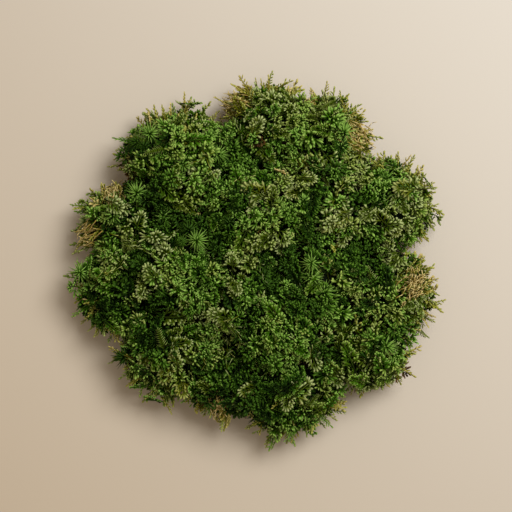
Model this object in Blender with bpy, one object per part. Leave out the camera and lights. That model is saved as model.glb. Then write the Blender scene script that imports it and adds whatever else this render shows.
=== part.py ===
"""A clump of feather moss, lifted from the ground and cut off flat underneath.

A thin mat of soil, rhizoids and dead stems carries seventeen rounded tufts of living moss. Each tuft is a
solid of the moss's own form: a lumpy dome whose sprays stand out as small pointed tips. Neighbouring tufts
press against each other in upright planes, so that a valley runs between each two domes.

Metres, +Z up, origin in the middle of the flat underside.
"""

import math
import random

import bmesh
import bpy
from mathutils import Vector, noise

MM = 0.001

# Driving dimensions
CLUMP_RADIUS = 74 * MM  # middle of the clump to the tips at its rim
MAT_THICKNESS = 5 * MM
MAT_INSET = 3.5 * MM  # how far the moss overhangs the mat
CLEARANCE = 0.3 * MM  # gap between pieces that touch
SPRAY_LENGTH = 3.6 * MM  # how far a spray stands out of its dome
RIM_SPRAY_LENGTH = 5.5 * MM
LUMP_SIZE = 11 * MM
LUMP_HEIGHT = 3.4 * MM
SQUARENESS = 2.7  # a dome's shoulders stand fuller than an ellipsoid's, whose value is 2
WIDEST_LEVEL = 4.5 * MM  # height of a dome's widest level above the mat

# Where each tuft grows: across and up the clump as seen from above, its radius, and its dome's height, in mm
TUFTS = {
    "tuft_top": (5, 50, 18, 17),
    "tuft_upper_right": (25.5, 44.5, 18.5, 17),
    "tuft_right_upper": (47, 20.5, 19.5, 18),
    "tuft_right": (49.5, -14, 18.5, 17),
    "tuft_lower_right": (40, -31.5, 19.5, 17),
    "tuft_bottom": (12.5, -48, 20.5, 17),
    "tuft_bottom_left": (-11.5, -43.5, 19, 15),
    "tuft_lower_left": (-33.5, -33.5, 20, 16),
    "tuft_left_lower": (-50.5, -11, 19.5, 16),
    "tuft_left_upper": (-49.5, 12, 19, 16),
    "tuft_upper_left": (-30, 36.5, 22.5, 21),
    "tuft_inner_left": (-30, -3, 22, 23),
    "tuft_inner_top": (-3, 17, 23, 24),
    "tuft_inner_upper_right": (22, 21, 21.5, 22),
    "tuft_inner_right": (25, -6, 21.5, 22),
    "tuft_inner_bottom": (10, -26, 22, 25),
    "tuft_middle": (-9, -13, 21, 23),
}
FIRST_SEED = 11

COLOURS = {
    "moss": (0.11, 0.19, 0.03, 1),
    "mat": (0.09, 0.055, 0.025, 1),
}


def clear_scene():
    for obj in list(bpy.data.objects):
        bpy.data.objects.remove(obj)


def make_material(name, roughness):
    material = bpy.data.materials.new(name)
    material.use_nodes = True
    shader = material.node_tree.nodes["Principled BSDF"]
    shader.inputs["Base Color"].default_value = COLOURS[name]
    shader.inputs["Roughness"].default_value = roughness
    shader.inputs["Metallic"].default_value = 0
    return material


def place_of(name):
    """(x, y, radius, dome height) of a tuft, in metres."""
    return [value * MM for value in TUFTS[name]]


def reach_from_middle(angle):
    """How far the tufts' outline lies from the clump's middle in this direction."""
    along = Vector((math.cos(angle), math.sin(angle)))
    farthest = 0
    for name in TUFTS:
        x, y, radius, _ = place_of(name)
        centre = Vector((x, y))
        beside = abs(along.cross(centre))
        if beside < radius:
            farthest = max(farthest, along.dot(centre) + math.sqrt(radius**2 - beside**2))
    return farthest


def make_mat(collection, material):
    """The lobed slab of soil and dead stems that the tufts are rooted in."""
    steps = 96
    edge_round = 1.2 * MM
    ragged = 1.6 * MM
    curve = bpy.data.curves.new("mat_outline", "CURVE")
    curve.dimensions = "2D"
    curve.fill_mode = "BOTH"
    curve.extrude = MAT_THICKNESS / 2 - edge_round
    curve.bevel_depth = edge_round
    curve.bevel_resolution = 0
    outline = curve.splines.new("POLY")
    outline.points.add(steps - 1)
    outline.use_cyclic_u = True
    near = 2 * math.pi / steps
    for i, point in enumerate(outline.points):
        angle = near * i
        reach = sum(reach_from_middle(angle + near * k) for k in (-1, 0, 1)) / 3
        reach += ragged * noise.noise(Vector((math.cos(angle), math.sin(angle), 0)) * 9)
        reach -= MAT_INSET + edge_round
        point.co = (reach * math.cos(angle), reach * math.sin(angle), 0, 1)
    helper = bpy.data.objects.new("mat_helper", curve)
    collection.objects.link(helper)
    bpy.context.view_layer.update()
    evaluated = helper.evaluated_get(bpy.context.evaluated_depsgraph_get())
    mesh = bpy.data.meshes.new_from_object(evaluated)
    bpy.data.objects.remove(helper)
    bm = bmesh.new()
    bm.from_mesh(mesh)
    bmesh.ops.remove_doubles(bm, verts=bm.verts, dist=0.01 * MM)
    bmesh.ops.recalc_face_normals(bm, faces=bm.faces)
    bm.to_mesh(mesh)
    bm.free()
    mesh.name = "root_mat"
    mesh.materials.append(material)
    mat = bpy.data.objects.new("root_mat", mesh)
    mat.location = (0, 0, MAT_THICKNESS / 2)
    collection.objects.link(mat)


def cell_walls(name):
    """The planes that part this tuft from the others, each as a point and an outward direction.

    Two domes meet where their circles of equal power do, which is an upright plane between the two.
    """
    x, y, radius, _ = place_of(name)
    centre = Vector((x, y, 0))
    walls = []
    for other in TUFTS:
        if other == name:
            continue
        other_x, other_y, other_radius, _ = place_of(other)
        towards = Vector((other_x, other_y, 0)) - centre
        apart = towards.length
        share = (apart**2 + radius**2 - other_radius**2) / (2 * apart)
        towards.normalize()
        walls.append((centre + towards * (share - CLEARANCE / 2), towards))
    floor = Vector((0, 0, MAT_THICKNESS + CLEARANCE))
    walls.append((floor, Vector((0, 0, -1))))
    return walls


def lumpy_dome(bm, centre, radius, height, seed):
    """A full-shouldered dome on its widest level, with lumps the size of a few sprays."""
    bmesh.ops.create_icosphere(bm, subdivisions=3, radius=1)
    shift = Vector((seed * 3.7, seed * 1.3, seed * 2.9))
    for vert in bm.verts:
        outward = vert.co.copy()
        across = math.hypot(outward.x, outward.y)
        full = (across**SQUARENESS + abs(outward.z) ** SQUARENESS) ** (-1 / SQUARENESS)
        vert.co = Vector((outward.x * radius, outward.y * radius, outward.z * height)) * full
        lump = noise.noise((vert.co + shift) / LUMP_SIZE) * LUMP_HEIGHT
        vert.co += outward * lump + centre
    # The low side tucks in more gently than an ellipsoid would
    below = [v for v in bm.verts if v.co.z < centre.z]
    for vert in below:
        vert.co.z = centre.z + (vert.co.z - centre.z) * 0.75


def trim_to_cell(bm, walls, canopy):
    """Cuts the dome off at each wall that it reaches and closes the cut."""
    for point, outward in walls:
        if max((v.co - point).dot(outward) for v in bm.verts) <= 0:
            continue
        everything = bm.verts[:] + bm.edges[:] + bm.faces[:]
        cut = bmesh.ops.bisect_plane(
            bm, geom=everything, plane_co=point, plane_no=outward, clear_outer=True, dist=0.02 * MM
        )
        edges = [item for item in cut["geom_cut"] if isinstance(item, bmesh.types.BMEdge)]
        closed = bmesh.ops.holes_fill(bm, edges=[e for e in edges if e.is_boundary])
        for face in closed["faces"]:
            face[canopy] = 0


def raise_sprays(bm, walls, canopy, centre, seed):
    """Draws the middle of many of the dome's faces out into the pointed tip of a spray."""
    rng = random.Random(seed)
    share_raised = 0.85
    smallest = 5 * MM**2
    root = Vector((centre.x, centre.y, MAT_THICKNESS))
    grown = [f for f in bm.faces if f[canopy] and f.calc_area() > smallest]
    for face in grown:
        if rng.random() > share_raised:
            continue
        middle = face.calc_center_median()
        from_axis = Vector((middle.x, middle.y, 0)).length
        at_rim = from_axis > 0.8 * CLUMP_RADIUS and middle.z < centre.z + 8 * MM
        direction = (middle - root).normalized()
        direction = (direction + face.normal * 0.5).normalized()
        length = (RIM_SPRAY_LENGTH if at_rim else SPRAY_LENGTH) * rng.uniform(0.45, 1.2)
        if at_rim:
            direction.z *= 0.4
            direction.normalize()
        for point, outward in walls:
            room = (point - middle).dot(outward) - CLEARANCE
            if direction.dot(outward) > 0:
                length = min(length, max(room, 0) / direction.dot(outward))
        if length < 1 * MM:
            continue
        tip = bmesh.ops.poke(bm, faces=[face], center_mode="MEAN")["verts"][0]
        tip.co = middle + direction * length


def make_tuft(collection, name, seed, material):
    x, y, radius, height = place_of(name)
    centre = Vector((x, y, MAT_THICKNESS + WIDEST_LEVEL))
    walls = cell_walls(name)
    bm = bmesh.new()
    canopy = bm.faces.layers.int.new("canopy")
    lumpy_dome(bm, centre, radius, height, seed)
    for face in bm.faces:
        face[canopy] = 1
    trim_to_cell(bm, walls, canopy)
    bmesh.ops.triangulate(bm, faces=[f for f in bm.faces if f[canopy] and len(f.verts) > 3])
    raise_sprays(bm, walls, canopy, centre, seed)
    bmesh.ops.recalc_face_normals(bm, faces=bm.faces)
    for vert in bm.verts:
        vert.co -= centre
    mesh = bpy.data.meshes.new(name)
    bm.to_mesh(mesh)
    bm.free()
    mesh.materials.append(material)
    tuft = bpy.data.objects.new(name, mesh)
    tuft.location = centre
    collection.objects.link(tuft)


def main():
    clear_scene()
    collection = bpy.data.collections.new("moss_clump")
    bpy.context.scene.collection.children.link(collection)
    make_mat(collection, make_material("mat", 0.95))
    moss = make_material("moss", 0.8)
    for number, name in enumerate(TUFTS):
        make_tuft(collection, name, FIRST_SEED + number, moss)


main()
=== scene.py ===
"""How the moss clump looks: its leafy shoots, brown felt and thatch, with a floor, a light and a camera.

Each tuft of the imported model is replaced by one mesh: tall living shoots, a lower storey of short ones in the
dark between them, and a core of old growth. The tall shoots' tips lie on the tuft's own surface, so the tuft
keeps its form. A shoot's colour is read from its UV map: across goes by its tone, from deep green to dead
brown, and up goes from its heel to its tip.
"""

import math
import random

import bmesh
import bpy
import numpy as np
from mathutils import Matrix, Vector, noise
from mathutils.bvhtree import BVHTree


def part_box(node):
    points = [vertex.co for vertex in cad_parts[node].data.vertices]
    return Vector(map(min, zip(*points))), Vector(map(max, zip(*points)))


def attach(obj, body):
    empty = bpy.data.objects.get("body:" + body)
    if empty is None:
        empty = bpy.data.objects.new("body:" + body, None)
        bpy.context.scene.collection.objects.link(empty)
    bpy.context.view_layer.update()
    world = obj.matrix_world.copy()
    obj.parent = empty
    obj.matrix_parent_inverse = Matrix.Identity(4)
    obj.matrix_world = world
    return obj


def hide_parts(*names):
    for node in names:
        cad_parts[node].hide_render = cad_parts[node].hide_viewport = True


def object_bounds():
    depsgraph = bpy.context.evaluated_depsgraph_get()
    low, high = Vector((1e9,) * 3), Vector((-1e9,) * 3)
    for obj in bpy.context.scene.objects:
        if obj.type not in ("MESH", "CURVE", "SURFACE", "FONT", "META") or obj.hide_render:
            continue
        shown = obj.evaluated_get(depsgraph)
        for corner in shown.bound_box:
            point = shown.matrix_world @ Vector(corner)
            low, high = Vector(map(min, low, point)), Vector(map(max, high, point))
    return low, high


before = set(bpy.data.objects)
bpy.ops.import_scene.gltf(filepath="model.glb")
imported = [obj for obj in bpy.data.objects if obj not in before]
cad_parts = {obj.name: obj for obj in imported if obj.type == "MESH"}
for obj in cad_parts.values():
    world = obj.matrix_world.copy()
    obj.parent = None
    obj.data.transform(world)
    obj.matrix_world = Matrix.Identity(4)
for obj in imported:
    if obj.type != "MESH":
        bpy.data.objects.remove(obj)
cad_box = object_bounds()

MM = 0.001
GOLDEN_ANGLE = math.radians(137.5)
UP = Vector((0, 0, 1))

# The photograph's frame, seen from straight above
IMAGE_PIXELS = 512
PIXEL = 0.4 * MM  # real size of a pixel at the height of the clump's rim
CLUMP_COLUMN, CLUMP_ROW = 257.5, 259  # the pixel that shows the clump's middle
RIM_HEIGHT = 12 * MM
LENS = 85
SENSOR = 36

# The clump
CLUMP_RADIUS = 74 * MM
MAT_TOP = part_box("root_mat")[1].z
HIGHEST = cad_box[1][2] + 0.8 * MM  # the tip of the tallest shoot
UPRIGHT_HEIGHT = 24 * MM  # the shoots of a valley stand upright from here up, and lean outwards below it
RIM_WIDTH = 11 * MM  # of the band of tips that stand clear of the clump, seen from above
RIM_LEVEL = 17 * MM  # such tips lie below this height
TOP_SPACING = 4 * MM  # between neighbouring shoots on the upper side
SIDE_SPACING = 4.6 * MM
UNDER_SPACING = 6 * MM
RIM_SPACING = 3 * MM
LOWER_SPACING = 3.8 * MM  # between the short shoots of the lower storey
LOWER_DEPTH = 4 * MM  # from the canopy down to their tips
WAVER_X, WAVER_Y = UP * 20, UP * 50  # where in the noise the wavering of the patches' borders is read
THATCH_STEMS = 800  # dead stems that stick out of the felt round the rim

# Where each kind of living thing lies across the palette
TONES = {
    "deep": 0.06,
    "green": 0.20,
    "fresh": 0.34,
    "lime": 0.47,
    "pale": 0.60,
    "olive": 0.73,
    "straw": 0.86,
    "brown": 0.96,
}
TONE_SPREAD = 0.004  # half the width that a lobe takes on the palette
STAR_TONE = 0.34
LAID_STEM_TONE = 0.64
# Rim sprig tones: painted light on the side towards the lamp, painted shade on the side away from it
PAINTED_LIGHT_RIM_TONES = (0.68, 0.71, 0.75)  # golden olive
PAINTED_SHADE_RIM_TONES = (0.34, 0.46, 0.66, 0.70, 0.74)
# Shoots that keep a tone of their own in every patch
OWN_TONES = {
    "spray": TONES["pale"],
    "bare_stem": 0.62,
    "straw": TONES["straw"],
    "fern": 0.53,
}
# How far each kind of shoot leans over to show its face, in degrees
LIES_OVER = {
    "rosette": 22,
    "plume": 58,
    "spray": 68,
    "fern": 64,
    "star": 12,
    "straw": 50,
    "bare_stem": 70,
}

# A mood is a tone and how many of a hundred shoots are of each kind
MOODS = {
    "fresh": (0.38, {"rosette": 76, "plume": 18, "spray": 2, "fern": 1, "star": 2, "bare_stem": 1}),
    "green": (0.26, {"rosette": 56, "plume": 30, "spray": 4, "fern": 2, "star": 6, "bare_stem": 2}),
    "deep": (0.14, {"rosette": 46, "plume": 30, "spray": 2, "fern": 4, "star": 15, "bare_stem": 3}),
    "silver": (0.48, {"rosette": 48, "plume": 37, "spray": 7, "fern": 3, "star": 2, "bare_stem": 3}),
    "olive": (0.46, {"rosette": 40, "plume": 36, "spray": 5, "fern": 4, "sprig": 9, "bare_stem": 6}),
    "tangled": (0.42, {"rosette": 26, "plume": 36, "spray": 8, "fern": 4, "sprig": 8, "bare_stem": 18}),
    "straw": (0.68, {"plume": 14, "sprig": 46, "bare_stem": 20, "straw": 20}),
}
# Where the photograph shows each mood: columns, rows and reaches of its patches, in pixels
# Deep patches are partly painted shade in valleys and shaded slopes, fresh and silver ones partly painted light
PATCHES = {
    "fresh": [
        (188, 150, 14), (196, 175, 12), (222, 135, 4), (172, 262, 14), (190, 290, 8), (211, 193, 5),
        (285, 335, 20), (254, 216, 12), (305, 145, 4), (93, 265, 8), (384, 304, 9), (265, 345, 8),
        (336, 149, 6), (305, 200, 4), (243, 145, 5), (180, 147, 6), (206, 140, 6), (293, 221, 6),
    ],
    "green": [
        (258, 165, 8), (200, 240, 6), (384, 187, 16), (405, 240, 5), (325, 290, 9), (350, 232, 6),
        (298, 408, 8), (215, 380, 10), (145, 342, 12), (306, 370, 10), (255, 292, 6), (180, 128, 6),
        (395, 335, 10), (205, 275, 8), (330, 180, 5), (377, 335, 5), (301, 387, 6), (235, 203, 5),
        (335, 206, 4), (248, 350, 5), (233, 154, 4), (242, 167, 5), (333, 237, 4), (343, 127, 5),
        (160, 153, 5), (400, 228, 4), (331, 270, 6),
    ],
    "deep": [
        (165, 190, 9), (228, 186, 5), (150, 318, 14), (120, 299, 10), (319, 186, 7), (320, 162, 7),
        (222, 245, 7), (347, 252, 10), (236, 363, 8), (300, 250, 5), (366, 262, 8), (212, 372, 7),
        (250, 412, 6), (165, 378, 5), (108, 325, 6), (236, 393, 9), (163, 356, 7), (298, 311, 7),
        (284, 302, 7), (192, 226, 7), (257, 200, 7), (351, 202, 6), (236, 335, 6), (344, 303, 5),
        (193, 352, 6), (284, 383, 5), (292, 257, 6), (294, 267, 5), (118, 284, 6), (153, 228, 6),
        (141, 262, 5), (260, 119, 6), (268, 284, 8), (325, 337, 7), (312, 213, 6), (257, 389, 6),
        (132, 185, 5), (141, 153, 5), (233, 309, 6), (113, 235, 5), (208, 396, 6),
    ],
    "silver": [
        (145, 283, 8), (178, 366, 6), (184, 382, 9), (233, 271, 9), (280, 240, 6), (340, 222, 9),
        (378, 224, 11), (386, 246, 10), (276, 186, 9), (300, 170, 4), (334, 372, 6), (285, 397, 4),
        (140, 168, 5), (218, 314, 5), (256, 132, 3), (190, 202, 6), (211, 331, 7), (136, 246, 5),
    ],
    "olive": [
        (290, 110, 14), (200, 116, 12), (345, 110, 8), (350, 290, 9), (342, 326, 10), (203, 336, 10),
        (100, 210, 10), (148, 385, 10), (415, 182, 8), (352, 345, 10), (378, 366, 12), (332, 405, 8),
        (162, 240, 5), (265, 420, 8), (420, 310, 8), (165, 131, 6), (309, 398, 6), (412, 226, 7),
        (133, 331, 6), (224, 340, 4),
    ],
    "tangled": [
        (225, 325, 9), (110, 278, 9), (290, 281, 4), (270, 303, 4), (382, 315, 5), (356, 180, 5),
        (262, 106, 5),
    ],
    "straw": [
        (363, 144, 9), (414, 280, 8), (228, 102, 5), (84, 240, 4), (113, 190, 5), (214, 410, 4),
    ],
}
# Single shoots that stand out in the photograph, by column and row. Those that lie flat also have the way
# they point, in degrees
HEADS = [
    (117, 212), (343, 134), (308, 262), (140, 190), (166, 213), (386, 345), (155, 137), (337, 152),
    (313, 279), (86, 273), (325, 287), (200, 242),
]
SPRAYS = [
    (143, 222, 70), (146, 288, 250), (155, 272, 120), (178, 356, 100), (184, 386, 280), (233, 262, 95),
    (236, 284, 290), (281, 238, 300), (284, 248, 200), (337, 220, 210), (340, 238, 260), (375, 218, 130),
    (388, 226, 10), (386, 248, 80), (302, 167, 50), (284, 186, 310), (334, 376, 300), (286, 396, 260),
    (257, 130, 60), (248, 386, 200), (219, 312, 160), (305, 182, 0), (312, 358, 290), (391, 262, 240),
]
BARE_STEMS = [
    (226, 318, 200), (238, 326, 320), (219, 330, 240), (262, 268, 295), (204, 352, 310), (140, 246, 150),
    (150, 250, 350), (200, 166, 210), (214, 172, 300), (118, 268, 30), (175, 342, 70), (307, 350, 100),
]
# The tips of the sprigs that reach out furthest at the rim
RIM_TIPS = [
    (73, 200), (96, 192), (112, 141), (108, 167), (124, 134), (139, 113), (156, 104), (170, 101), (183, 91),
    (190, 98), (206, 99), (214, 95), (246, 73), (262, 79), (271, 73), (290, 80), (301, 83), (325, 89),
    (334, 87), (345, 92), (351, 96), (360, 101), (370, 115), (374, 130), (380, 146), (398, 150), (414, 154),
    (425, 177), (436, 185), (435, 198), (443, 217), (430, 238), (434, 262), (425, 279), (440, 284),
    (446, 305), (438, 319), (429, 327), (420, 338), (423, 354), (416, 370), (406, 382), (386, 391),
    (361, 389), (346, 416), (328, 431), (316, 436), (284, 433), (264, 449), (245, 430), (217, 431),
    (209, 410), (184, 407), (150, 401), (126, 385), (117, 372), (108, 352), (95, 338), (84, 319), (75, 287),
    (65, 269), (70, 250), (73, 212), (82, 239), (88, 308), (138, 396), (232, 427), (300, 424),
    (221, 104), (217, 108), (226, 102), (230, 105), (223, 112), (414, 245), (409, 250), (418, 243),
    (420, 255), (376, 152), (380, 158), (345, 402), (342, 408), (350, 396), (306, 91), (300, 89), (311, 94),
    (296, 87), (74, 256), (72, 252), (76, 260), (227, 428), (222, 426), (234, 430), (262, 447),
    (268, 446), (415, 342), (412, 350), (404, 370), (150, 110), (146, 112), (416, 246), (419, 250),
    (337, 408), (336, 400), (411, 252), (407, 254), (412, 257), (373, 156), (377, 154), (380, 162),
]


def linear(hex_colour):
    """A linear colour with alpha from an sRGB hex value."""
    channels = [int(hex_colour[i : i + 2], 16) / 255 for i in (1, 3, 5)]
    return [c / 12.92 if c <= 0.04045 else ((c + 0.055) / 1.055) ** 2.4 for c in channels] + [1]


def from_photo(column, row):
    """The place across the clump that a pixel of the photograph shows."""
    return Vector(((column - CLUMP_COLUMN) * PIXEL, (CLUMP_ROW - row) * PIXEL, 0))


def add_node(tree, kind, settings=None, inputs=None):
    """Adds a node with its settings. An input takes a value or another node's output."""
    node = tree.nodes.new(kind)
    for name, value in (settings or {}).items():
        setattr(node, name, value)
    for name, value in (inputs or {}).items():
        if isinstance(value, bpy.types.NodeSocket):
            tree.links.new(value, node.inputs[name])
        else:
            node.inputs[name].default_value = value
    return node


def set_stops(ramp_node, stops):
    """Gives a colour ramp its stops, as pairs of a place and an sRGB hex value."""
    elements = ramp_node.color_ramp.elements
    while len(elements) < len(stops):
        elements.new(1)
    for element, (place, colour) in zip(elements, sorted(stops)):
        element.position = place
        element.color = linear(colour)


def new_material(name):
    material = bpy.data.materials.new(name)
    material.use_nodes = True
    return material, material.node_tree, material.node_tree.nodes["Principled BSDF"]


def moss_leaf_material():
    """Living moss: leaves one cell thick with a thin waxy skin.

    The eye sees a soft shine, dark brown heels, saturated green blades and pale tips. The dark heels are partly
    old growth and partly painted shade at the foot of each lobe; the pale tips are partly young leaves that
    stand apart and partly a painted highlight. At the rim the tips are dry and brown.
    """
    material, tree, shader = new_material("moss_leaf")
    # Heel colours: the old growth's own colour and painted shade at the foot of each lobe
    heels = {
        "deep": "#071001",
        "green": "#0C1601",
        "fresh": "#121F01",
        "lime": "#191F02",
        "pale": "#1B2006",
        "olive": "#221B04",
        "straw": "#42321A",
        "brown": "#0C0903",
    }
    blades = {
        "deep": "#142B00",
        "green": "#1D3D00",
        "fresh": "#3B6800",
        "lime": "#405400",
        "pale": "#485D06",
        "olive": "#666A04",
        "straw": "#AA9044",
        "brown": "#2E1E0A",
    }
    # Tip colours: the young leaves' own colour and a painted highlight, paler and a little blue
    tips = {
        "deep": "#3F6219",
        "green": "#608A28",
        "fresh": "#9CC45C",
        "lime": "#A4B65A",
        "pale": "#BECC8C",
        "olive": "#B8BA50",
        "straw": "#ECD898",
        "brown": "#5A3E1C",
    }
    palette = add_node(tree, "ShaderNodeUVMap", {"uv_map": "OFBake"})
    place = add_node(tree, "ShaderNodeSeparateXYZ", inputs={"Vector": palette.outputs["UV"]})
    across, along = place.outputs["X"], place.outputs["Y"]
    colours = []
    for shades in (heels, blades, tips):
        ramp = add_node(tree, "ShaderNodeValToRGB", inputs={"Fac": across})
        set_stops(ramp, [(TONES[name], colour) for name, colour in shades.items()])
        colours.append(ramp.outputs["Color"])
    blade_share = add_node(
        tree,
        "ShaderNodeMapRange",
        {"interpolation_type": "SMOOTHSTEP"},
        {"Value": along, "From Min": 0.0, "From Max": 0.62},
    )
    tip_share = add_node(
        tree,
        "ShaderNodeMapRange",
        {"interpolation_type": "SMOOTHSTEP"},
        {"Value": along, "From Min": 0.62, "From Max": 1.0},
    )
    lower = add_node(
        tree,
        "ShaderNodeMix",
        {"data_type": "RGBA"},
        {"Factor": blade_share.outputs["Result"], 6: colours[0], 7: colours[1]},
    )
    whole = add_node(
        tree,
        "ShaderNodeMix",
        {"data_type": "RGBA"},
        {"Factor": tip_share.outputs["Result"], 6: lower.outputs[2], 7: colours[2]},
    )
    roughness = add_node(
        tree,
        "ShaderNodeMapRange",
        inputs={"Value": along, "To Min": 0.8, "To Max": 0.42},
    )
    tree.links.new(whole.outputs[2], shader.inputs["Base Color"])
    tree.links.new(roughness.outputs["Result"], shader.inputs["Roughness"])
    shader.inputs["IOR"].default_value = 1.42
    shader.inputs["Specular IOR Level"].default_value = 0.12
    return material


def root_felt_material():
    """Felted dead stems and rhizoids: dull, fibrous and dark umber, with paler straw caught in it."""
    material, tree, shader = new_material("root_felt")
    fibre = 0.9 * MM
    clot = 7 * MM
    where = add_node(tree, "ShaderNodeTexCoord")
    fibres = add_node(
        tree,
        "ShaderNodeTexNoise",
        inputs={
            "Vector": where.outputs["Object"],
            "Scale": 1 / fibre,
            "Detail": 4,
            "Roughness": 0.65,
            "Distortion": 2.5,
        },
    )
    clots = add_node(
        tree,
        "ShaderNodeTexNoise",
        inputs={"Vector": where.outputs["Object"], "Scale": 1 / clot, "Detail": 3},
    )
    fibre_colour = add_node(tree, "ShaderNodeValToRGB", inputs={"Fac": fibres.outputs["Fac"]})
    set_stops(fibre_colour, [(0.3, "#140D08"), (0.5, "#3A2818"), (0.62, "#6B5233"), (0.75, "#9A8458")])
    clot_colour = add_node(tree, "ShaderNodeValToRGB", inputs={"Fac": clots.outputs["Fac"]})
    set_stops(clot_colour, [(0.35, "#5E5348"), (0.65, "#FFFFFF")])
    colour = add_node(
        tree,
        "ShaderNodeMix",
        {"data_type": "RGBA", "blend_type": "MULTIPLY"},
        {"Factor": 1.0, 6: fibre_colour.outputs["Color"], 7: clot_colour.outputs["Color"]},
    )
    relief = add_node(
        tree,
        "ShaderNodeBump",
        inputs={"Height": fibres.outputs["Fac"], "Distance": 0.6 * MM, "Strength": 0.8},
    )
    tree.links.new(colour.outputs[2], shader.inputs["Base Color"])
    tree.links.new(relief.outputs["Normal"], shader.inputs["Normal"])
    shader.inputs["Roughness"].default_value = 0.95
    return material


def matt_card_painted_light_material():
    """Matt card under the clump: without shine, warm, and with painted light a little paler towards the window.
    """
    material, tree, shader = new_material("matt_card_painted_light")
    painted_light_fade = 0.15  # half the width of the change from warm to pale, in metres
    where = add_node(tree, "ShaderNodeTexCoord")
    towards = add_node(
        tree,
        "ShaderNodeVectorMath",
        {"operation": "DOT_PRODUCT"},
        {0: where.outputs["Object"], 1: Vector((1, 1, 0)).normalized()},
    )
    painted_light_share = add_node(
        tree,
        "ShaderNodeMapRange",
        inputs={"Value": towards.outputs["Value"], "From Min": -painted_light_fade, "From Max": painted_light_fade},
    )
    # Painted light: the card's colour runs from warm to paler towards the window lamp
    colour = add_node(tree, "ShaderNodeValToRGB", inputs={"Fac": painted_light_share.outputs["Result"]})
    set_stops(colour, [(0.0, "#D2C3AE"), (1.0, "#D5D0C8")])
    tree.links.new(colour.outputs["Color"], shader.inputs["Base Color"])
    shader.inputs["Roughness"].default_value = 0.9
    shader.inputs["Specular IOR Level"].default_value = 0.2
    return material


def new_shape():
    bm = bmesh.new()
    bm.loops.layers.uv.new("OFBake")
    bm.verts.layers.int.new("finished")
    return bm


def newest(bm):
    """The vertices of the piece just added, which then count as finished."""
    finished = bm.verts.layers.int.active
    verts = [v for v in bm.verts if not v[finished]]
    for vert in verts:
        vert[finished] = 1
    return verts


def shade(bm, verts, tone, heel, tip):
    """Lays the faces of a new upright piece on the palette, from heel at its foot to tip at its top."""
    palette = bm.loops.layers.uv.active
    low = min(v.co.z for v in verts)
    tall = max(v.co.z for v in verts) - low
    wide = max(abs(v.co.x) for v in verts)
    for face in {face for vert in verts for face in vert.link_faces}:
        for loop in face.loops:
            across = tone + TONE_SPREAD * loop.vert.co.x / wide
            along = heel + (tip - heel) * (loop.vert.co.z - low) / tall
            loop[palette].uv = (across, along)


def add_lobe(bm, place, length, width, tone=0, heel=0.35, tip=1.0, bend=0.0):
    """A leafy branchlet: a slim, slightly flat finger with a blunt tip, from its heel along its own Z."""
    bmesh.ops.create_uvsphere(bm, u_segments=3, v_segments=3, radius=1)
    verts = newest(bm)
    shade(bm, verts, tone, heel, tip)
    for vert in verts:
        along = ((vert.co.z + 1) / 2) ** 0.8
        girth = width * (0.4 + 0.24 * along)
        vert.co.x = vert.co.x * girth + bend * length * along**2
        vert.co.y *= girth * 0.75
        vert.co.z = along * length
    bmesh.ops.transform(bm, matrix=place, verts=verts)


def add_needle(bm, place, length, width, tone=0, heel=0.3, tip=0.95):
    """A narrow pointed leaf."""
    upright = Matrix.Translation((0, 0, length / 2))
    bmesh.ops.create_cone(
        bm, cap_ends=True, segments=3, radius1=width / 2, radius2=0, depth=length, matrix=upright
    )
    verts = newest(bm)
    shade(bm, verts, tone, heel, tip)
    bmesh.ops.transform(bm, matrix=place, verts=verts)


def add_stalk(bm, place, length, width, taper=0.5, tone=0, heel=0.0, tip=0.6, joints=1, bow=0.0):
    """A stem, which bows to one side and narrows towards its top."""
    upright = Matrix.Translation((0, 0, length / 2))
    ends = bmesh.ops.create_cone(
        bm,
        cap_ends=True,
        segments=3,
        radius1=width / 2,
        radius2=width / 2 * taper,
        depth=length,
        matrix=upright,
    )["verts"]
    if joints:
        long_edges = {e for v in ends for e in v.link_edges if e.calc_length() > length / 2}
        bmesh.ops.subdivide_edges(bm, edges=list(long_edges), cuts=joints)
    verts = newest(bm)
    shade(bm, verts, tone, heel, tip)
    for vert in verts:
        vert.co.x += bow * length * (vert.co.z / length) ** 2
    bmesh.ops.transform(bm, matrix=place, verts=verts)


def turned(height, turn, lean, aside=0.0):
    """A place at a height on an upright stem, turned about it and leaning away from it."""
    at = Matrix.Translation((aside, 0, height))
    return at @ Matrix.Rotation(turn, 4, "Z") @ Matrix.Rotation(lean, 4, "Y")


def add_fork(bm, rng, place, length, width, tone=0, heel=0.35):
    """A branchlet: a long lobe from which two shorter ones fork off in one plane."""
    add_lobe(bm, place, length, width, tone, heel, 1.0, rng.uniform(-0.15, 0.15))
    for side in (-1, 1):
        lean = side * rng.uniform(0.5, 1.05)
        twig = place @ turned(length * rng.uniform(0.25, 0.55), rng.uniform(-0.4, 0.4), lean)
        reach = length * rng.uniform(0.42, 0.72)
        add_lobe(bm, twig, reach, width * 0.9, tone, heel + 0.3, 1.0, -0.15 * side)


def rosette(rng):
    """An upright shoot with forked branchlets all round, which shows from above as a rosette."""
    bm = new_shape()
    length = 8 * MM
    add_stalk(bm, Matrix(), length * 0.85, 0.8 * MM)
    arms = 8
    for i in range(arms):
        rise = i / (arms - 1)
        lean = math.radians(84 - 34 * rise + rng.uniform(-18, 18))
        arm = turned(length * (0.45 + 0.35 * rise), i * GOLDEN_ANGLE + rng.uniform(-0.5, 0.5), lean)
        arm = arm @ turned(0, math.pi / 2 + rng.uniform(-0.8, 0.8), 0)
        reach = rng.uniform(2.8, 6.0) * MM * (1 - 0.3 * rise)
        add_fork(bm, rng, arm, reach, rng.uniform(0.8, 1.25) * MM, rng.uniform(-0.04, 0.04))
    for i in range(3):
        lean = math.radians(rng.uniform(12, 34))
        add_lobe(bm, turned(length * 0.8, i * GOLDEN_ANGLE, lean), 2.2 * MM, 0.95 * MM, 0.02, 0.4)
    return bm


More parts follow.
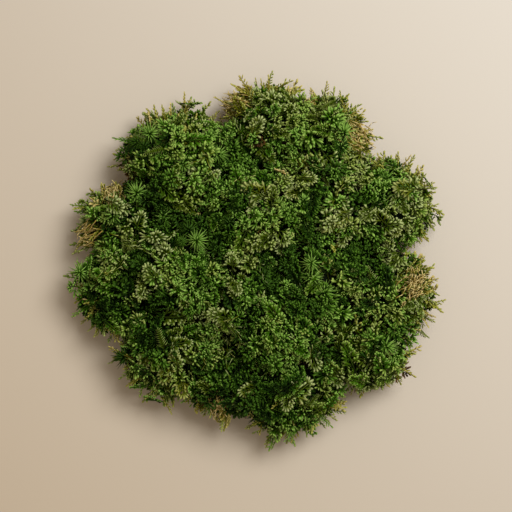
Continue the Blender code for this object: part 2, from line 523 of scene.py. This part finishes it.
def plume(rng):
    """A feathery frond: forked branchlets in two ranks along a stem, all in one plane."""
    bm = new_shape()
    length = 11 * MM
    bow = rng.uniform(-0.12, 0.12)
    add_stalk(bm, Matrix(), length * 0.9, 0.7 * MM, joints=2, bow=bow)
    ranks = 4
    for i in range(ranks):
        for side in (0, math.pi):
            rise = (i + (0.5 if side else 0)) / ranks
            up = 0.24 + 0.6 * rise
            lean = math.radians(60 - 18 * rise + rng.uniform(-8, 8))
            branch = turned(length * up, side + rng.uniform(-0.25, 0.25), lean, bow * length * up**2)
            reach = rng.uniform(3.4, 4.2) * MM * (1 - 0.4 * rise)
            add_fork(bm, rng, branch, reach, rng.uniform(0.85, 1.05) * MM, rng.uniform(-0.03, 0.03), 0.1)
    crown = turned(length * 0.82, 0, bow, bow * length * 0.67)
    add_fork(bm, rng, crown, 2.4 * MM, 1 * MM, 0.01, 0.3)
    return bm


def spray(rng):
    """A pale flat spray, forked like an antler, with blunt lobes that stand apart."""
    bm = new_shape()
    length = 10.5 * MM
    add_stalk(bm, Matrix(), length * 0.85, 0.6 * MM, tip=0.8)
    ranks = 3
    for i in range(ranks):
        for side in (-1, 1):
            rise = (i + 0.25 + 0.25 * side) / ranks
            fork = turned(length * (0.26 + 0.56 * rise), 0, side * rng.uniform(0.7, 0.95))
            reach = rng.uniform(3.2, 4.2) * MM * (1 - 0.4 * rise)
            tone = rng.uniform(-0.04, 0.03)
            add_lobe(bm, fork, reach * 1.25, 1.05 * MM, tone, 0.3)
            for up, lean in ((0.35, -0.85), (0.6, 0.85)):
                lobe = fork @ turned(reach * up, rng.uniform(-0.3, 0.3), lean + rng.uniform(-0.15, 0.15))
                size = rng.uniform(2.4, 3.1) * MM * (1 - 0.25 * rise)
                add_lobe(bm, lobe, size, rng.uniform(1.0, 1.25) * MM, tone, 0.6)
    for lean in (-0.6, 0, 0.6):
        add_lobe(bm, turned(length * 0.8, 0, lean), 2.8 * MM, 1.15 * MM, heel=0.6)
    return bm


def short_shoot(rng):
    """A short shoot of the lower storey, which fills the dark between the taller ones."""
    bm = new_shape()
    length = 5 * MM
    count = 9
    for i in range(count):
        rise = i / (count - 1)
        lean = math.radians(86 - 66 * rise + rng.uniform(-8, 8))
        place = turned(length * (0.3 + 0.35 * rise), i * GOLDEN_ANGLE, lean)
        size = rng.uniform(2.6, 3.8) * MM * (1 - 0.3 * rise)
        # Lobes that stop short of the palest tip colour: painted shade under the canopy
        add_lobe(bm, place, size, rng.uniform(0.9, 1.2) * MM, rng.uniform(-0.03, 0.03), 0.05, 0.8)
    return bm


def fern(rng):
    """A narrow frond: short bent leaves in two close ranks along a thin stem."""
    bm = new_shape()
    length = 9 * MM
    bow = rng.uniform(-0.15, 0.15)
    add_stalk(bm, Matrix(), length, 0.4 * MM, tip=0.9, joints=3, bow=bow)
    pairs = 9
    for i in range(pairs):
        for side in (0, math.pi):
            up = 0.25 + 0.72 * i / pairs
            place = turned(length * up, side, rng.uniform(0.85, 1.1), bow * length * up**2)
            size = 2.1 * MM * (1.1 - 0.6 * i / pairs) * rng.uniform(0.85, 1.15)
            add_needle(bm, place, size, 0.6 * MM, rng.uniform(-0.02, 0.02), 0.55, 1.0)
    return bm


def star(rng):
    """A head of narrow pointed leaves, which shows from above as a star."""
    bm = new_shape()
    length = 7 * MM
    add_stalk(bm, Matrix(), length * 0.6, 0.7 * MM)
    count = 34
    for i in range(count):
        rise = i / (count - 1)
        lean = math.radians(86 - 70 * rise + rng.uniform(-6, 6))
        place = turned(length * (0.32 + 0.2 * rise), i * GOLDEN_ANGLE, lean)
        size = rng.uniform(3.8, 5.0) * MM
        add_needle(bm, place, size, rng.uniform(0.75, 1.0) * MM, rng.uniform(-0.02, 0.03), 0.6)
    return bm


def sprig(rng):
    """A rim shoot: a stout bowed stem with short leaves set alternately, like a tiny fir twig."""
    bm = new_shape()
    length = 13 * MM
    bow = rng.uniform(-0.35, 0.35)
    browned = rng.choice((0, 0, 0.02, 0.05))
    add_stalk(bm, Matrix(), length * 0.97, 0.8 * MM, 0.6, 0.02, 0.2, 0.9, joints=4, bow=bow)
    count = 14
    for i in range(count):
        rise = i / count
        up = 0.2 + 0.74 * rise
        side = math.pi * (i % 2) + rng.uniform(-0.7, 0.7)
        place = turned(length * up, side, rng.uniform(0.6, 0.95), bow * length * up**2)
        size = rng.uniform(1.8, 3.0) * MM * (1.15 - 0.5 * rise)
        tone = rng.uniform(-0.03, 0.03) + browned * rise
        add_lobe(bm, place, size, rng.uniform(0.6, 0.85) * MM, tone, 0.35 + 0.3 * rise, 1.0, -0.2)
    add_lobe(bm, turned(length * 0.9, 0, bow * 1.5, bow * length * 0.81), 2.2 * MM, 0.9 * MM, browned, 0.6)
    return bm


def bare_stem(rng):
    """An old stem that has lost its leaves: thin, wiry and forked."""
    bm = new_shape()
    place = turned(0, rng.uniform(0, math.tau), 0)
    width = 0.46 * MM
    for _ in range(3):
        reach = rng.uniform(3.4, 4.6) * MM
        bow = rng.choice((-1, 1)) * rng.uniform(0.15, 0.4)
        add_stalk(bm, place, reach, width, 0.85, rng.uniform(-0.02, 0.02), 0.5, 0.95, 2, bow)
        width *= 0.9
        knee = place @ Matrix.Translation((0, 0, reach * 0.96))
        fork = knee @ turned(0, rng.uniform(0, math.tau), rng.uniform(0.5, 0.9))
        twig = rng.uniform(2.0, 4.0) * MM
        add_stalk(bm, fork, twig, width * 0.8, 0.6, heel=0.5, tip=1.0, bow=rng.uniform(-0.3, 0.3))
        place = knee @ turned(0, rng.uniform(0, math.tau), rng.uniform(0.15, 0.5))
    return bm


def straw(rng):
    """A dead stem of the thatch, thin and curled."""
    bm = new_shape()
    place = Matrix()
    for _ in range(3):
        reach = rng.uniform(2.2, 3.2) * MM
        add_stalk(bm, place, reach, 0.35 * MM, 0.9, 0, 0.5, 1.0, bow=rng.uniform(-0.2, 0.2))
        place = place @ Matrix.Translation((0, 0, reach * 0.97))
        place = place @ turned(0, rng.uniform(0, math.tau), rng.uniform(0.1, 0.5))
    return bm


class Growth:
    """The points, triangles and palette places of a finished shape, ready to be copied many times."""

    def __init__(self, bm):
        bmesh.ops.triangulate(bm, faces=bm.faces)
        bm.verts.index_update()
        palette = bm.loops.layers.uv.active
        self.points = np.array([v.co for v in bm.verts])
        self.faces = np.array([[v.index for v in f.verts] for f in bm.faces])
        self.shades = np.array([[loop[palette].uv for loop in f.loops] for f in bm.faces])
        self.height = self.points[:, 2].max()
        bm.free()


def joined(name, copies, material):
    """One mesh of many copies, each given as its growth, its place and its tone."""
    points, faces, shades = [], [], []
    used = 0
    for growth, place, tone in copies:
        matrix = np.array(place)
        points.append(growth.points @ matrix[:3, :3].T + matrix[:3, 3])
        faces.append(growth.faces + used)
        shades.append(growth.shades + np.array([tone, 0]))
        used += len(growth.points)
    points, faces, shades = map(np.concatenate, (points, faces, shades))
    mesh = bpy.data.meshes.new(name)
    mesh.vertices.add(len(points))
    mesh.vertices.foreach_set("co", points.ravel())
    mesh.loops.add(faces.size)
    mesh.loops.foreach_set("vertex_index", faces.ravel())
    mesh.polygons.add(len(faces))
    mesh.polygons.foreach_set("loop_start", np.arange(0, faces.size, 3))
    mesh.update(calc_edges=True)
    palette = mesh.uv_layers.new(name="OFBake")
    palette.data.foreach_set("uv", np.clip(shades, 0.005, 0.995).ravel())
    mesh.shade_smooth()
    mesh.materials.append(material)
    piece = bpy.data.objects.new(name, mesh)
    bpy.context.scene.collection.objects.link(piece)
    return piece


def merged_copy(node):
    """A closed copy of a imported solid, whose own mesh is loose triangles."""
    bm = bmesh.new()
    bm.from_mesh(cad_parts[node].data)
    bmesh.ops.remove_doubles(bm, verts=bm.verts, dist=0.01 * MM)
    for layer in list(bm.loops.layers.uv.values()):
        bm.loops.layers.uv.remove(layer)
    bm.loops.layers.uv.new("OFBake")
    bm.normal_update()
    return bm


def canopy_faces(bm):
    """The faces open to the air. The others, on the mat or against a neighbouring tuft, are exact planes."""
    exact = 0.002
    return [f for f in bm.faces if abs(f.normal.z) > exact and f.normal.z > -1 + exact]


def stand(tip, growth, flat_side, height, size):
    """The place of a shoot whose tip is at tip, grown along growth, its flat side towards flat_side."""
    up = growth.normalized()
    face = flat_side - up * flat_side.dot(up)
    face.normalize()
    across = face.cross(up)
    turn = Matrix((across, face, up)).transposed().to_4x4()
    return Matrix.Translation(tip - up * height * size) @ turn @ Matrix.Scale(size, 4)


def at_its_height(growth, place):
    """The same place, raised if the shoot would reach the ground, or lowered if it would top the clump."""
    matrix = np.array(place)
    heights = growth.points @ matrix[2, :3] + matrix[2, 3]
    change = max(0.2 * MM - heights.min(), 0) + min(HIGHEST - heights.max(), 0)
    return Matrix.Translation((0, 0, change)) @ place


def random_direction(rng):
    return Vector((rng.gauss(0, 1), rng.gauss(0, 1), rng.gauss(0, 1))).normalized()


def mood_at(spot):
    """The mood of the patch that a spot belongs to, with wavering borders between the patches."""
    wave = 6 * MM
    stray = 3 * MM
    place = spot / wave
    waver = Vector((noise.noise(place + WAVER_X), noise.noise(place + WAVER_Y), 0)) * stray
    nearest = None
    for mood, patches in PATCHES.items():
        for column, row, reach in patches:
            away = from_photo(column, row) - spot - waver
            gap = math.hypot(away.x, away.y) - reach * PIXEL
            if nearest is None or gap < nearest:
                nearest = gap
                found = mood
    return found


class Tuft:
    """A packed tuft's form and the shoots that grow on it."""

    def __init__(self, node):
        self.node = node
        self.form = merged_copy(node)
        self.surface = BVHTree.FromBMesh(self.form)
        low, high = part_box(node)
        self.foot = Vector(((low.x + high.x) / 2, (low.y + high.y) / 2, MAT_TOP))
        self.copies = [(self.old_growth(), Matrix(), TONES["deep"])]
        self.taken = []

    def old_growth(self):
        """The heart, where the shoots are dead and packed: the tuft's form, smoothed and drawn in. Its
        near-black colour is partly the dead shoots' own and partly painted shade deep inside the tuft.
        """
        drawn_in = 5.5 * MM
        bm = merged_copy(self.node)
        for _ in range(4):
            bmesh.ops.smooth_vert(
                bm, verts=bm.verts, factor=0.5, use_axis_x=True, use_axis_y=True, use_axis_z=True
            )
        for vert in bm.verts:
            inward = self.foot - vert.co
            vert.co += inward.normalized() * min(drawn_in, inward.length / 2)
        palette = bm.loops.layers.uv.active
        for face in bm.faces:
            for loop, (across, along) in zip(face.loops, ((0, 0), (1, 0), (0, 1))):
                loop[palette].uv = (TONE_SPREAD * across, 0.02 + TONE_SPREAD * along)
        return Growth(bm)

    def valley_tips(self, rng):
        """Tips in the valleys, where shoots of two neighbouring tufts stand up against each other."""
        spacing = 5 * MM
        open_faces = set(canopy_faces(self.form))
        tips = []
        for edge in self.form.edges:
            if sum(face in open_faces for face in edge.link_faces) != 1:
                continue
            start, end = (vert.co for vert in edge.verts)
            if min(start.z, end.z) < MAT_TOP + 1 * MM:
                continue
            for _ in range(int(edge.calc_length() / spacing + rng.random())):
                tips.append(start.lerp(end, rng.random()) + UP * rng.uniform(2, 5) * MM)
        return tips

    def spaced_tips(self, rng, spacing_at):
        """Tips for shoots, scattered over the canopy and at the points of its sprays, no two too close."""
        faces = canopy_faces(self.form)
        open_faces = set(faces)
        chosen = [v.co for v in self.form.verts if len(v.link_faces) == 3 and v.link_faces[0] in open_faces]
        tries = 2000
        for face in rng.choices(faces, [f.calc_area() for f in faces], k=tries):
            a, b = sorted((rng.random(), rng.random()))
            corners = [v.co for v in face.verts]
            chosen.append(corners[0] * a + corners[1] * (b - a) + corners[2] * (1 - b))
        kept = np.array([tuple(spot) for spot in self.taken]).reshape(-1, 3)
        tips = []
        for spot in chosen:
            out = self.surface.find_nearest(spot - (spot - self.foot).normalized() * 2 * MM)[1]
            if len(kept) and np.linalg.norm(kept - np.array(spot), axis=1).min() < spacing_at(spot, out):
                continue
            tips.append(spot.copy())
            kept = np.vstack([kept, np.array(spot)])
        return tips

    def add(self, growth, tone, tip, way, flat_side, size):
        """Adds a shoot. Near the ground it lies lower, so that its heel stays in the mat."""
        way = way.normalized()
        way.z = min(way.z, (tip.z - MAT_TOP / 2) / (growth.height * size))
        place = stand(tip, way, flat_side, growth.height, size)
        self.copies.append((growth, at_its_height(growth, place), tone))


def on_canopy(tufts, column, row):
    """The tuft that shows at a pixel of the photograph, and the point of its surface there."""
    above = from_photo(column, row) + UP
    hits = [(tuft.surface.ray_cast(above, -UP)[0], tuft) for tuft in tufts]
    return max(((spot, tuft) for spot, tuft in hits if spot), key=lambda hit: hit[0].z, default=None)


def nearest_tuft(tufts, spot):
    return min(tufts, key=lambda tuft: tuft.surface.find_nearest(spot)[3])


def rim_tone(rng, tip):
    """Sprig tones with painted light and shade: golden olive on the side of the clump towards the lamp, and
    dark green or brown on the side away from it.
    """
    lamp_side = (tip.x + tip.y) / CLUMP_RADIUS + rng.uniform(-0.7, 0.7)
    return rng.choice(PAINTED_LIGHT_RIM_TONES if lamp_side > 0 else PAINTED_SHADE_RIM_TONES)


def kind_and_tone(rng, tip):
    """What grows at this tip, and its tone, by the patch and by how near the rim it is."""
    mood = mood_at(tip)
    tone, mix = MOODS[mood]
    kind = rng.choices(list(mix), list(mix.values()))[0]
    at_rim = stands_at_rim(tip)
    outer = (tip.x**2 + tip.y**2) / CLUMP_RADIUS**2
    sprigs_at_rim = 0.7
    dead_share = 0.008
    if at_rim and mood != "straw" and rng.random() < sprigs_at_rim:
        kind = "sprig"
    # A bare stem near the rim would stick out past the clump
    if kind == "bare_stem" and outer > 0.6:
        kind = "plume"
    own = {"star": tone - 0.06, "sprig": rim_tone(rng, tip), **OWN_TONES}
    tone = own.get(kind, tone) + 0.08 * noise.noise(tip / (12 * MM)) + rng.gauss(0, 0.03)
    if kind in ("rosette", "plume"):
        # Painted light: rosettes and plumes near the rim take a lighter tone on the side towards the lamp
        lamp_side = (tip.x + tip.y) / CLUMP_RADIUS
        tone += 0.08 * lamp_side * outer + rng.gauss(0, 0.04)
        if at_rim:
            tone += 0.06
        if rng.random() < dead_share:
            tone = TONES["brown"]
    return kind, tone, at_rim


def stands_at_rim(spot):
    return Vector((spot.x, spot.y)).length > CLUMP_RADIUS - RIM_WIDTH and spot.z < RIM_LEVEL


def way_of_growth(rng, kind, tip, foot):
    """The way a shoot grows, away from its tuft's foot. All but sprigs lie over, mostly outwards.

    Also gives the straight way from the foot to the tip.
    """
    away = (tip - foot).normalized()
    if kind == "sprig":
        way = away + random_direction(rng) * 0.4
        way.z *= 0.45
        return way.normalized(), away
    downhill = Vector((away.x, away.y, 0)) * 1.6 + random_direction(rng)
    aside = (downhill - away * downhill.dot(away)).normalized()
    lean = math.radians(LIES_OVER[kind] * rng.uniform(0.7, 1.2))
    if stands_at_rim(tip):
        lean *= 0.5
    return away * math.cos(lean) + aside * math.sin(lean), away


def canopy_spacing(spot, out):
    """How far apart shoots stand at a spot of the canopy where the surface faces the way of out."""
    if stands_at_rim(spot):
        return RIM_SPACING
    return TOP_SPACING if out.z > 0.35 else SIDE_SPACING if out.z > -0.25 else UNDER_SPACING


def grow_canopy(rng, tuft, templates):
    """Fills a tuft's canopy with shoots, round those that are placed one by one."""
    for tip in tuft.spaced_tips(rng, canopy_spacing):
        kind, tone, at_rim = kind_and_tone(rng, tip)
        growth = rng.choice(templates[kind])
        way, away = way_of_growth(rng, kind, tip, tuft.foot)
        flat = kind in ("plume", "spray", "fern")
        flat_side = away + random_direction(rng) * (0.3 if flat else 3)
        # Shoots of one cluster are much of a size, and reach about as high as each other
        size = rng.uniform(0.72, 1.28) * (1 + 0.25 * noise.noise(tip / (14 * MM) + UP))
        raised = (noise.noise(tip / (5 * MM)) * 4 - 1 + rng.uniform(-1.1, 1.1)) * MM
        if at_rim and kind == "sprig":
            raised = rng.uniform(-3, 1.8) * MM
        tuft.add(growth, tone, tip + away * raised, way, flat_side, size)


def grow_lower_storey(rng, tuft, templates):
    """Short shoots below the canopy, in a tone a little deeper than what grows over them: painted shade."""
    painted_shade = 0.05
    for tip in tuft.spaced_tips(rng, lambda spot, out: LOWER_SPACING):
        away = (tip - tuft.foot).normalized()
        tone = MOODS[mood_at(tip)][0] - painted_shade + rng.gauss(0, 0.03)
        growth = rng.choice(templates["short_shoot"])
        way = away + random_direction(rng) * 0.4
        below = tip - away * LOWER_DEPTH
        tuft.add(growth, tone, below, way, random_direction(rng), rng.uniform(0.85, 1.2))


def grow_valleys(rng, tuft, templates):
    """Shoots that stand up against the neighbouring tufts, in a deeper tone: painted shade between them."""
    painted_shade = 0.12
    for tip in tuft.valley_tips(rng):
        kind, tone, _ = kind_and_tone(rng, tip)
        if kind not in ("sprig", "plume"):
            kind = "rosette"
        growth = rng.choice(templates[kind])
        outward = Vector((tip.x, tip.y, 0)).normalized()
        steepness = min(tip.z / UPRIGHT_HEIGHT, 1)
        way = outward.lerp(UP, steepness) + random_direction(rng) * 0.35
        tuft.add(growth, tone - painted_shade, tip, way, random_direction(rng), rng.uniform(0.8, 1.15))


def place_heads(rng, tufts, templates):
    """The star heads, which stand above the canopy with no other shoot close to them."""
    raised = 4.5 * MM
    room = 2 * MM
    size = 1.4
    sides = (Vector((1, 0, 0)), Vector((-1, 0, 0)), Vector((0, 1, 0)))
    for column, row in HEADS:
        spot, tuft = on_canopy(tufts, column, row)
        way = UP + random_direction(rng) * 0.3
        tip = spot + UP * raised
        tuft.add(rng.choice(templates["star"]), STAR_TONE, tip, way, sides[0], size)
        tuft.taken += [spot + side * room for side in sides]


def lay_shoots(rng, tufts, growths, places, tone, raised):
    """Lays shoots on the canopy, a little raised, and gives each one's tuft and spot."""
    laid = []
    for column, row, pointing in places:
        spot, tuft = on_canopy(tufts, column, row)
        growth = rng.choice(growths)
        angle = math.radians(pointing)
        way = Vector((math.cos(angle), math.sin(angle), rng.uniform(0.05, 0.25))).normalized()
        tip = spot + UP * raised + way * growth.height * 0.4
        size = rng.uniform(0.75, 1.05)
        tuft.add(growth, tone + rng.gauss(0, 0.03), tip, way, UP + random_direction(rng) * 0.3, size)
        laid.append((tuft, spot))
    return laid


def scatter_straw(rng, tufts, templates):
    """Dead stems, loose on the canopy of the straw patches and beside it where a patch reaches past it."""
    stems_per_pixel = 7
    spread = 1.4
    for column, row, reach in PATCHES["straw"]:
        for _ in range(reach * stems_per_pixel):
            aside = random_direction(rng) * reach * spread
            canopy = on_canopy(tufts, column + aside.x, row + aside.y)
            level = canopy[0].z + rng.uniform(-1.5, 2) * MM if canopy else rng.uniform(9, 18) * MM
            tip = from_photo(column + aside.x, row + aside.y) + UP * level
            tuft = nearest_tuft(tufts, tip)
            way = tip - tuft.foot
            way.z = 4 * MM
            way = way.normalized() + random_direction(rng) * 0.7
            tone = TONES["straw"] + rng.gauss(0, 0.02)
            growth = rng.choice(templates["straw"])
            tuft.add(growth, tone, tip, way, random_direction(rng), rng.uniform(0.8, 1.3))


def place_rim_sprigs(rng, tufts, templates):
    """The sprigs that reach out furthest."""
    for column, row in RIM_TIPS:
        tip = from_photo(column, row) + UP * rng.uniform(9, 15) * MM
        tuft = nearest_tuft(tufts, tip)
        way = tip - tuft.foot
        way.z = 0
        way = way.normalized() + random_direction(rng) * 0.25
        tone = rim_tone(rng, tip) + rng.gauss(0, 0.02)
        growth = rng.choice(templates["sprig"])
        tuft.add(growth, tone, tip, way, random_direction(rng), rng.uniform(0.85, 1.15))


def place_by_hand(tufts, templates):
    """All that lies where the photograph shows it. Scattered shoots keep clear of the heads and sprays."""
    rng = random.Random(8)
    place_heads(rng, tufts, templates)
    for tuft, spot in lay_shoots(rng, tufts, templates["spray"], SPRAYS, TONES["pale"], 1.6 * MM):
        tuft.taken.append(spot)
    lay_shoots(rng, tufts, templates["bare_stem"], BARE_STEMS, LAID_STEM_TONE, 3 * MM)
    scatter_straw(rng, tufts, templates)
    place_rim_sprigs(rng, tufts, templates)


def finish_tuft(tuft, material):
    """Joins a tuft's shoots in one piece."""
    piece = joined(tuft.node.replace("tuft", "shoots"), tuft.copies, material)
    tuft.form.free()
    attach(piece, "root")
    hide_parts(tuft.node)


def make_felt(material):
    """The mat under the moss: a ragged felt, flat below."""
    voxel = 1.8 * MM
    ragged = 1.1 * MM
    bm = merged_copy("root_mat")
    mesh = bpy.data.meshes.new("root_felt")
    bm.to_mesh(mesh)
    bm.free()
    helper = bpy.data.objects.new("felt_helper", mesh)
    bpy.context.scene.collection.objects.link(helper)
    remesh = helper.modifiers.new("even", "REMESH")
    remesh.mode = "VOXEL"
    remesh.voxel_size = voxel
    bpy.context.view_layer.update()
    even = bpy.data.meshes.new_from_object(helper.evaluated_get(bpy.context.evaluated_depsgraph_get()))
    bpy.data.objects.remove(helper)
    even.name = "root_felt"
    bm = bmesh.new()
    bm.from_mesh(even)
    bm.normal_update()
    for vert in bm.verts:
        side = vert.normal.copy()
        side.z *= 0.4
        lump = noise.noise(vert.co / (3 * MM)) - 0.4
        vert.co += side * ragged * lump
        if vert.co.z < voxel * 0.6:
            vert.co.z = 0
        vert.co.z = min(max(vert.co.z, 0), MAT_TOP)
    bm.to_mesh(even)
    bm.free()
    even.shade_smooth()
    even.materials.clear()
    even.materials.append(material)
    felt = bpy.data.objects.new("root_felt", even)
    bpy.context.scene.collection.objects.link(felt)
    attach(felt, "root")
    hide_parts("root_mat")


def bare_spots(rng, tufts, mat):
    """Spots on top of the mat that no tuft covers: the clefts between the tufts at the rim."""
    surface = BVHTree.FromBMesh(mat)
    tries = 9000
    spots = []
    for _ in range(tries):
        angle = rng.uniform(0, math.tau)
        far = CLUMP_RADIUS * math.sqrt(rng.random())
        above = Vector((far * math.cos(angle), far * math.sin(angle), 1))
        spot = surface.ray_cast(above, -UP)[0]
        if spot and not any(tuft.surface.ray_cast(above, -UP)[0] for tuft in tufts):
            spots.append(spot)
    return spots


def make_thatch(tufts, templates, material):
    """Dead brown stems that stick out of the felt all round, and stand up in the clefts of the rim."""
    rng = random.Random(5)
    bm = merged_copy("root_mat")
    rim = [f for f in bm.faces if abs(f.normal.z) < 0.9]
    copies = []
    for face in rng.choices(rim, [f.calc_area() for f in rim], k=THATCH_STEMS):
        spot = face.calc_center_median()
        out = Vector((spot.x, spot.y, 0)).normalized()
        way = out + UP * rng.uniform(0.1, 0.9) + random_direction(rng) * 0.8
        growth = rng.choice(templates["straw"])
        size = rng.uniform(0.6, 1.1)
        tip = spot + way.normalized() * growth.height * size * 0.75
        tone = rng.choice((TONES["straw"], TONES["straw"], TONES["brown"])) + rng.gauss(0, 0.03)
        place = stand(tip, way, random_direction(rng), growth.height, size)
        copies.append((growth, at_its_height(growth, place), tone))
    in_clefts = (("straw", TONES["straw"]), ("straw", 0.9), ("sprig", TONES["olive"] + 0.05))
    for spot in bare_spots(rng, tufts, bm):
        kind, tone = rng.choice(in_clefts)
        growth = rng.choice(templates[kind])
        out = Vector((spot.x, spot.y, 0)).normalized()
        way = (UP + out * 0.5 + random_direction(rng) * 0.5).normalized()
        size = rng.uniform(0.9, 1.3)
        tip = spot + way * growth.height * size * 0.9
        copies.append((growth, stand(tip, way, random_direction(rng), growth.height, size), tone))
    bm.free()
    thatch = joined("thatch", copies, material)
    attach(thatch, "root")


def make_floor():
    bm = bmesh.new()
    bmesh.ops.create_grid(bm, x_segments=1, y_segments=1, size=1.5)
    mesh = bpy.data.meshes.new("floor")
    bm.to_mesh(mesh)
    bm.free()
    mesh.materials.append(matt_card_painted_light_material())
    floor = bpy.data.objects.new("floor", mesh)
    bpy.context.scene.collection.objects.link(floor)


def make_light():
    """A soft window of light from the upper right of the photograph, and a weak warm room."""
    lamp = bpy.data.lights.new("window", "AREA")
    lamp.shape = "DISK"
    lamp.size = 0.42
    lamp.energy = 4.8
    lamp.color = (1.0, 0.99, 0.96)
    holder = bpy.data.objects.new("window", lamp)
    heading = math.radians(42)
    height = math.radians(56)
    far = 0.75
    flat = math.cos(height) * far
    holder.location = (flat * math.cos(heading), flat * math.sin(heading), math.sin(height) * far)
    holder.rotation_euler = (-holder.location).to_track_quat("-Z", "Y").to_euler()
    bpy.context.scene.collection.objects.link(holder)
    world = bpy.data.worlds.new("room")
    world.use_nodes = True
    background = world.node_tree.nodes["Background"]
    background.inputs["Color"].default_value = linear("#F0DEC8")
    background.inputs["Strength"].default_value = 0.39
    bpy.context.scene.world = world


def make_camera():
    """The camera looks straight down, as far off as its lens needs to take in the photograph's width."""
    width = IMAGE_PIXELS * PIXEL
    data = bpy.data.cameras.new("camera")
    data.lens = LENS
    data.sensor_width = SENSOR
    camera = bpy.data.objects.new("camera", data)
    middle = from_photo(IMAGE_PIXELS / 2, IMAGE_PIXELS / 2)
    camera.location = middle + UP * (RIM_HEIGHT + width * LENS / SENSOR)
    bpy.context.scene.collection.objects.link(camera)
    bpy.context.scene.camera = camera


def main():
    rng = random.Random(3)
    makers = {
        rosette: 8,
        plume: 7,
        spray: 6,
        short_shoot: 5,
        fern: 4,
        star: 4,
        sprig: 8,
        bare_stem: 6,
        straw: 6,
    }
    templates = {make.__name__: [Growth(make(rng)) for _ in range(count)] for make, count in makers.items()}
    leaf = moss_leaf_material()
    tufts = [Tuft(node) for node in sorted(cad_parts) if node.startswith("tuft_")]
    place_by_hand(tufts, templates)
    for seed, tuft in enumerate(tufts):
        own_rng = random.Random(seed)
        grow_canopy(own_rng, tuft, templates)
        grow_lower_storey(own_rng, tuft, templates)
        grow_valleys(own_rng, tuft, templates)
        finish_tuft(tuft, leaf)
    make_felt(root_felt_material())
    make_thatch(tufts, templates, leaf)
    make_floor()
    make_light()
    make_camera()
    bpy.context.scene.view_settings.view_transform = "Standard"


main()
